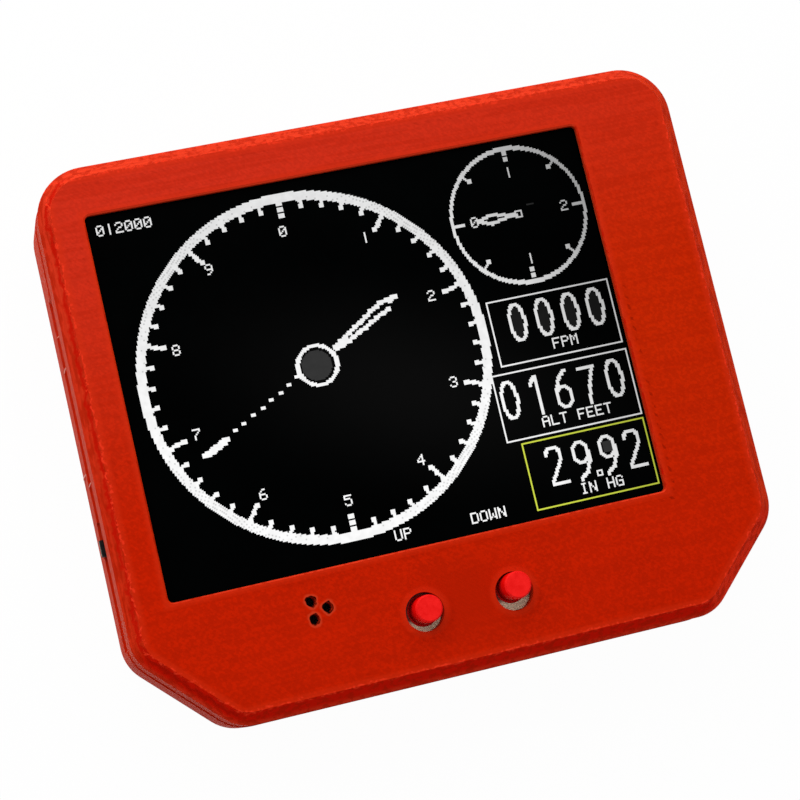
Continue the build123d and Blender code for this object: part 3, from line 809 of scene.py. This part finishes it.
        # Painted shade darkens the mouths of the sound holes
        hole_shade = torn.fall(SOUND_HOLE - 0.02, SOUND_HOLE + 0.15) * self.facing
        self.cover(hole_shade, (0.02, 0.0005, 0.0))

    def raise_tracks(self):
        """Roughness and bump, with less of it on the low walls, where light grazes."""
        self.roughness(self.grain.ease(0.3, 0.7, 0.44, 0.60))
        layer_depth = self.walls * self.normal_y.ease(-0.6, -0.3, 0.01, 0.06)
        wall_grain = self.normal_y.ease(-0.6, -0.3, 0.008, 0.04)
        height = self.flat_height * (self.facing * 0.35) + self.layers * layer_depth
        height = height + self.grain * self.level.ease(0.2, 0.6, wall_grain, 0.9)
        self.relief(height - (self.pits + self.dark_step) * 1.5, 0.02)


class ALTIMETER_OT_shells(Operator):
    """Give both shells their printed finish"""

    bl_idname = "altimeter.shells"
    bl_label = "Printed shells"

    def execute(self, context):
        PrintedFinish(context.scene.altimeter_print).dress("front_case", "rear_case")
        return {"FINISHED"}


class ALTIMETER_OT_strings(Operator):
    """Leave the thin hairs of plastic that the printer drew on the left side"""

    bl_idname = "altimeter.strings"
    bl_label = "Print strings"

    def execute(self, context):
        finish = Finish("string_red", Roughness=0.35)
        finish.color(finish.ramp(finish.noise(4.0), (0.30, (0.66, 0.08, 0.03)), (0.60, (0.86, 0.26, 0.15))))
        # How far left the strings touch the rear wall and the front wall
        rear = -HALF_WIDTH - 0.10
        front = -HALF_WIDTH + 0.12
        # Place along the side, where it starts and ends, and how far it bows out
        hairs = (
            (12.5, rear, 7.6, front, 10.9, 0.10),
            (-1.15, rear, 1.6, rear, 7.4, 0.24),
            (-2.6, rear, 7.7, front, 10.9, 0.05),
            (17.2, rear, 7.8, front, 10.9, -0.30),
        )
        steps = 6
        points = []
        edges = []
        for y, x0, z0, x1, z1, bow in hairs:
            first = len(points)
            for step in range(steps + 1):
                part = step / steps
                out = bow * sin(pi * part)
                points.append((x0 + (x1 - x0) * part - out, y + 0.3 * part, z0 + (z1 - z0) * part))
            edges += [(first + step, first + step + 1) for step in range(steps)]
        base = drawn_mesh("string_paths", points, edges)
        thickness = context.scene.altimeter_print.string
        inputs = {"Thickness": thickness, "Finish": finish.material}
        piece = grow(base, strings_group(), "print_strings", inputs)
        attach(piece, "case")
        return {"FINISHED"}


class ALTIMETER_OT_screen(Operator):
    """Finish the screen's film, glass, gasket and backlight"""

    bl_idname = "altimeter.screen"
    bl_label = "Screen"

    def execute(self, context):
        film_color = tuple(context.scene.altimeter_screen.film)
        film = Finish("screen_film", 0.004)
        dark = film.ramp(film.noise(0.05, 3.0), (0.35, film_color), (0.75, shade(film_color, 2.5)))
        # A painted glow greys the middle of the film in a long oval
        along = (film.x * 0.927 + film.y * -0.376) * (1 / 38.0)
        cross = (film.x * 0.376 + film.y * 0.927) * (1 / 17.0)
        painted_glow = film.distance(along, cross).fall(0.0, 1.0)
        film.color(film.mix(painted_glow, dark, (0.0035, 0.0035, 0.0035)))
        film.roughness(film.noise(0.35, 4.0).ease(0.35, 0.7, 0.20, 0.32))
        film.relief(film.noise(9.0), 0.002)
        film.dress("screen_polariser")

        glass = Finish("screen_glass", Transmission_Weight=1.0, IOR=1.5, Roughness=0.02)
        glass.color(glass.ramp(glass.noise(0.05), (0.3, (0.80, 0.86, 0.84)), (0.7, (0.88, 0.92, 0.90))))
        glass.dress("screen_front_glass", "screen_rear_glass")

        foam = Finish("dark_foam", 0.2)
        pores = foam.cells(3.5)
        foam.color(foam.ramp(pores, (0.1, (0.008, 0.008, 0.008)), (0.6, (0.035, 0.035, 0.036))))
        foam.roughness(pores.ease(0.1, 0.7, 0.95, 0.8))
        foam.relief(pores, 0.05)
        foam.dress("screen_gasket", "screen_pad", "battery_pad")

        white = Finish("white_frame", 0.4)
        white.follow(
            white.noise(0.4, 3.0), (0.3, (0.80, 0.80, 0.77)), (0.7, (0.88, 0.88, 0.86)),
            (0.35, 0.5), 0.01, white.noise(5.0),
        )
        white.dress("backlight_frame")

        guide = Finish("light_guide", Transmission_Weight=0.6, IOR=1.49)
        dots = guide.cells(2.0)
        guide.color(guide.ramp(dots, (0.12, (0.95, 0.96, 0.97)), (0.2, (0.78, 0.80, 0.82))))
        guide.roughness(dots.ease(0.1, 0.25, 0.5, 0.12))
        guide.dress("light_guide")

        flex = Finish("flex_film")
        flex.follow(
            flex.y.wave(0.5), (0.4, (0.30, 0.10, 0.015)), (0.6, (0.55, 0.24, 0.05)), (0.25, 0.4), 0.01,
        )
        flex.dress("screen_flex")
        return {"FINISHED"}


def screen_glow(tone, color):
    """The finish of dots that glow in this colour."""
    glow = Finish(f"screen_{tone}", 0.004, Roughness=0.3)
    glow.color(glow.ramp(glow.noise(0.5), (0.4, (0.001, 0.001, 0.001)), (0.6, (0.002, 0.002, 0.002))))
    light = glow.ramp(glow.noise(1.1), (0.35, shade(color, 0.92)), (0.65, color))
    # The panel looks dimmer towards its upper right, where the eye leaves its best angle
    light = glow.mix((glow.x + glow.y * 0.3).rise(6.0, 42.0, 0.66), light, (0, 0, 0))
    light = glow.mix(glow.y.rise(-5.0, 28.0, 0.20), light, (0, 0, 0))
    glow.feed(glow.surface.inputs["Emission Color"], light)
    glow.surface.inputs["Emission Strength"].default_value = 1.0
    return glow.material


class ALTIMETER_OT_picture(Operator):
    """Light the dots of the dials and readouts on the screen"""

    bl_idname = "altimeter.picture"
    bl_label = "Screen picture"

    def execute(self, context):
        settings = context.scene.altimeter_screen
        # A dot that several tones want goes to the first of them
        pictures = {tone: Picture() for tone in ("lit", "chosen", "soft", "dim", "faint")}
        draw_dial(pictures["lit"], pictures["soft"])
        draw_small_dial(pictures["lit"])
        draw_readouts(pictures["lit"], pictures["dim"], pictures["faint"])
        pictures["dim"].disc(*DIAL_CENTER, HUB_FILL)
        pictures["dim"].block(278, 45, 5, 1)
        pictures["chosen"].frame(237, 196, 319, 239)
        taken = set()
        for tone, picture in pictures.items():
            picture.dots -= taken
            taken |= picture.dots
            material = screen_glow(tone, tuple(getattr(settings, tone)))
            cell_piece(f"screen_{tone}_dots", picture, material)
        return {"FINISHED"}


class ALTIMETER_OT_buttons(Operator):
    """Finish the plungers, the switches under them and the slide switch"""

    bl_idname = "altimeter.buttons"
    bl_label = "Buttons and switch"

    def execute(self, context):
        settings = context.scene.altimeter_buttons
        color = tuple(settings.plunger)
        plunger = Finish("red_plunger", 0.08)
        tone = plunger.follow(
            plunger.noise(1.1, 3.0), (0.32, shade(color, 0.87)), (0.68, (1.0, 0.013, 0.011)),
            (0.38, 0.52), 0.012, plunger.noise(7.0, 3.0),
        )
        worn = plunger.noise(5.0, 3.0).rise(0.62, 0.75, 0.3)
        tone = plunger.mix(worn, tone, (1.0, 0.05, 0.045))
        # Painted shade: the plunger's flank is darker, most of all low down in the hole
        shaded_flank = abs(plunger.normal()[2]).fall(0.2, 0.6, 0.85)
        height = plunger.z.rise(FACE_Z - 1.5, FACE_Z + 2.0)
        flank_shade = plunger.ramp(height, (0, (0.62, 0, 0)), (1, (1.0, 0.003, 0.002)))
        plunger.color(plunger.mix(shaded_flank, tone, flank_shade))
        plunger.dress("up_plunger", "down_plunger")

        steel = Finish("tinned_steel", Metallic=0.85)
        base = tuple(settings.plate)
        grain = steel.noise(3.6, 3.0, stretch=(1.0, 2.2, 1.0), turn=0.3)
        steel.follow(grain, (0.38, shade(base, 0.45)), (0.62, shade(base, 1.6)), (0.38, 0.60), 0.02)
        steel.dress(
            "up_switch_dome", "down_switch_dome", "switch_legs", "power_switch_shell", "power_switch_pins",
            "charge_socket_shell", "pressure_sensor",
        )

        # Painted shade: the plates are dark red but for their low side, where light reaches into the holes
        plate = Finish("switch_plate", Metallic=0.6)
        grain = plate.noise(3.6, 3.0, stretch=(1.0, 2.2, 1.0), turn=0.3)
        tone = plate.follow(grain, (0.35, shade(base, 0.75)), (0.62, shade(base, 2.0)), (0.38, 0.60), 0.02)
        plate_shade = (plate.y - BUTTON_Y).rise(-1.4, -0.5, 0.97)
        plate.color(plate.mix(plate_shade, tone, (0.14, 0.005, 0.004)))
        plate.dress("up_switch_plate", "down_switch_plate")

        black = Finish("black_plastic", 0.15)
        black.follow(
            black.noise(4.0, 3.0), (0.35, (0.008, 0.008, 0.009)), (0.75, (0.030, 0.030, 0.032)),
            (0.45, 0.62), 0.02,
        )
        black.dress(
            "up_switch_base", "down_switch_base", "power_switch_base", "charge_socket_tongue", "sounder",
            "power_chips", "screen_driver_chip",
        )

        # A painted pale reflection lies along the lower edge of the lever's outer end, which faces left
        lever = Finish("lever_black", 0.04, Roughness=0.6)
        painted_reflection = lever.normal()[0].fall(-0.8, -0.5) * lever.z.fall(8.4, 8.9)
        speck = lever.noise(3.0, 3.0)
        tone = lever.ramp(speck, (0.35, (0.004, 0.004, 0.004)), (0.75, (0.016, 0.016, 0.016)))
        reflection_tone = lever.ramp(speck, (0.35, (0.16, 0.14, 0.10)), (0.65, (0.40, 0.36, 0.28)))
        lever.color(lever.mix(painted_reflection, tone, reflection_tone))
        lever.relief(speck, 0.02)
        lever.dress("power_switch_lever")
        return {"FINISHED"}


class ALTIMETER_OT_electronics(Operator):
    """Finish the board and what is soldered to it"""

    bl_idname = "altimeter.electronics"
    bl_label = "Board and parts"

    def execute(self, context):
        board = Finish("board_green")
        weave = board.x.wave(0.6) + board.y.wave(0.6)
        tracks = board.cells(0.35, (1.0, 0.25, 1.0)).rise(0.18, 0.22)
        mask = board.ramp(weave, (0.2, (0.010, 0.075, 0.040)), (0.9, (0.016, 0.100, 0.055)))
        board.color(board.mix(tracks * 0.35, mask, (0.03, 0.17, 0.09)))
        board.roughness(weave.ease(0.2, 1.8, 0.28, 0.42))
        board.relief(tracks + weave, 0.015)
        board.dress("main_board", "processor_module")

        shield = Finish("shield_metal", Metallic=1.0)
        brushed = shield.noise(2.5, 4.0, stretch=(0.1, 4.0, 1.0))
        shield.follow(brushed, (0.3, (0.62, 0.61, 0.58)), (0.7, (0.78, 0.77, 0.74)), (0.28, 0.45), 0.008)
        shield.dress("processor_shield")

        chip = Finish("capacitor_body")
        chip.follow(
            chip.noise(3.0, 3.0), (0.35, (0.34, 0.24, 0.16)), (0.65, (0.50, 0.38, 0.27)), (0.4, 0.6), 0.01,
        )
        chip.dress("chip_capacitors")

        nylon = Finish("connector_nylon", 0.45)
        nylon.follow(
            nylon.noise(1.2, 3.0), (0.3, (0.76, 0.73, 0.64)), (0.7, (0.86, 0.83, 0.75)),
            (0.38, 0.55), 0.01, nylon.noise(6.0),
        )
        nylon.dress("battery_socket", "battery_plug")
        return {"FINISHED"}


class ALTIMETER_OT_battery(Operator):
    """Finish the battery pouch and its leads"""

    bl_idname = "altimeter.battery"
    bl_label = "Battery"

    def execute(self, context):
        foil = Finish("battery_foil", Metallic=0.9)
        foil.follow(
            foil.noise(0.5, 5.0), (0.3, (0.55, 0.56, 0.58)), (0.7, (0.72, 0.73, 0.75)), (0.25, 0.45), 0.12,
        )
        foil.dress("battery_cell")
        for name, low, high in (
            ("red", (0.42, 0.012, 0.010), (0.60, 0.030, 0.022)),
            ("black", (0.008, 0.008, 0.008), (0.022, 0.022, 0.022)),
        ):
            sleeve = Finish(f"{name}_wire", 0.45)
            sleeve.follow(
                sleeve.noise(2.0, 3.0), (0.3, low), (0.7, high), (0.35, 0.5), 0.01, sleeve.noise(8.0),
            )
            sleeve.dress(f"{name}_lead")
        return {"FINISHED"}


class ALTIMETER_OT_fasteners(Operator):
    """Finish the case screws and their brass inserts"""

    bl_idname = "altimeter.fasteners"
    bl_label = "Screws and inserts"

    def execute(self, context):
        screw = Finish("screw_steel", Metallic=1.0)
        screw.follow(
            screw.noise(6.0, 3.0), (0.3, (0.10, 0.10, 0.105)), (0.7, (0.20, 0.20, 0.21)), (0.3, 0.5), 0.02,
        )
        screw.dress("case_screws")

        brass = Finish("insert_brass", Metallic=1.0)
        brass.follow(
            (brass.x + brass.z).wave(0.5), (0.3, (0.55, 0.36, 0.12)), (0.7, (0.78, 0.56, 0.24)),
            (0.45, 0.28), 0.08,
        )
        brass.dress("screw_inserts")
        return {"FINISHED"}


def seen_ray(wiring):
    """1 for a ray that shows its surface: from the camera, in a reflection or through glass."""
    rays = wiring.add("ShaderNodeLightPath").outputs
    return wiring.most(rays["Is Camera Ray"], rays["Is Glossy Ray"], rays["Is Transmission Ray"])


def lay_floor():
    """A pale floor just under the case, as wide as the view: nearly white where it is seen."""
    reach = 3000
    low = -0.05
    corners = [(x * reach, y * reach, low) for x, y in ((-1, -1), (1, -1), (1, 1), (-1, 1))]
    ground = drawn_mesh("floor", corners, faces=[(0, 1, 2, 3)])
    paper = bpy.data.materials.new("floor_paper")
    paper.use_nodes = True
    wiring = Wiring(paper.node_tree)
    wiring.tree.nodes.clear()
    diffuse = wiring.add("ShaderNodeBsdfDiffuse", {"Color": (0.86, 0.86, 0.86, 1)})
    glow = wiring.add("ShaderNodeEmission")
    inputs = {0: seen_ray(wiring) * PAPER_GLOW, 1: diffuse.outputs[0], 2: glow.outputs[0]}
    blend = wiring.add("ShaderNodeMixShader", inputs)
    wiring.add("ShaderNodeOutputMaterial", {"Surface": blend.outputs[0]})
    ground.data.materials.append(paper)


def light_world(scene, sky):
    """White surroundings that light the object with the strength of the sky."""
    world = bpy.data.worlds.new("white_room")
    world.use_nodes = True
    scene.world = world
    wiring = Wiring(world.node_tree)
    background = world.node_tree.nodes["Background"]
    background.inputs["Color"].default_value = (1, 1, 1, 1)
    inputs = {"Value": seen_ray(wiring), "To Min": sky, "To Max": 1.0}
    strength = wiring.add("ShaderNodeMapRange", inputs)
    wiring.feed(background.inputs["Strength"], strength.outputs[0])


def hang_lamp(power):
    data = bpy.data.lights.new("key_lamp", "AREA")
    data.shape = "RECTANGLE"
    data.size, data.size_y = LAMP_SIZE
    data.energy = power
    lamp = new_object("key_lamp", data)
    lamp.location = LAMP_PLACE
    aim = Vector(LAMP_AIM) - lamp.location
    lamp.rotation_euler = aim.to_track_quat("-Z", "Y").to_euler()


def place_camera(scene, lens):
    data = bpy.data.cameras.new("photo_camera")
    data.sensor_width = 36
    data.lens = lens
    data.shift_x = CAMERA_SHIFT
    data.shift_y = CAMERA_SHIFT
    data.clip_start = 0.01
    camera = new_object("photo_camera", data)
    turn = Matrix(CAMERA_AXES).transposed().to_4x4()
    camera.matrix_world = Matrix.Translation(Vector(CAMERA_PLACE)) @ turn
    scene.camera = camera


class ALTIMETER_OT_stage(Operator):
    """Set the pale floor, the soft lamp, the white surroundings and the camera"""

    bl_idname = "altimeter.stage"
    bl_label = "Stage"

    def execute(self, context):
        scene = context.scene
        settings = scene.altimeter_stage
        scene.view_settings.view_transform = "Standard"
        lay_floor()
        light_world(scene, settings.sky)
        hang_lamp(settings.key_power)
        place_camera(scene, settings.lens)
        return {"FINISHED"}


OPERATORS = (
    ALTIMETER_OT_stage,
    ALTIMETER_OT_shells,
    ALTIMETER_OT_strings,
    ALTIMETER_OT_screen,
    ALTIMETER_OT_picture,
    ALTIMETER_OT_buttons,
    ALTIMETER_OT_electronics,
    ALTIMETER_OT_battery,
    ALTIMETER_OT_fasteners,
)

SETTINGS = (
    ("altimeter_print", PrintSettings),
    ("altimeter_screen", ScreenSettings),
    ("altimeter_buttons", ButtonSettings),
    ("altimeter_stage", StageSettings),
)


class ALTIMETER_PT_panel(Panel):
    """Settings and steps of the altimeter's looks"""

    bl_label = "Portable altimeter"
    bl_idname = "ALTIMETER_PT_panel"
    bl_space_type = "VIEW_3D"
    bl_region_type = "UI"
    bl_category = "Altimeter"

    def draw(self, context):
        layout = self.layout
        for name, group in SETTINGS:
            box = layout.box()
            for key in group.__annotations__:
                box.prop(getattr(context.scene, name), key)
        for operator in OPERATORS:
            layout.operator(operator.bl_idname)


def register():
    for name, group in SETTINGS:
        bpy.utils.register_class(group)
        setattr(bpy.types.Scene, name, PointerProperty(type=group))
    for operator in OPERATORS:
        bpy.utils.register_class(operator)
    bpy.utils.register_class(ALTIMETER_PT_panel)


def unregister():
    bpy.utils.unregister_class(ALTIMETER_PT_panel)
    for operator in reversed(OPERATORS):
        bpy.utils.unregister_class(operator)
    for name, group in reversed(SETTINGS):
        delattr(bpy.types.Scene, name)
        bpy.utils.unregister_class(group)


def main():
    register()
    bpy.ops.altimeter.stage()
    bpy.ops.altimeter.shells()
    bpy.ops.altimeter.strings()
    bpy.ops.altimeter.screen()
    bpy.ops.altimeter.picture()
    bpy.ops.altimeter.buttons()
    bpy.ops.altimeter.electronics()
    bpy.ops.altimeter.battery()
    bpy.ops.altimeter.fasteners()


if __name__ == "__main__":
    main()
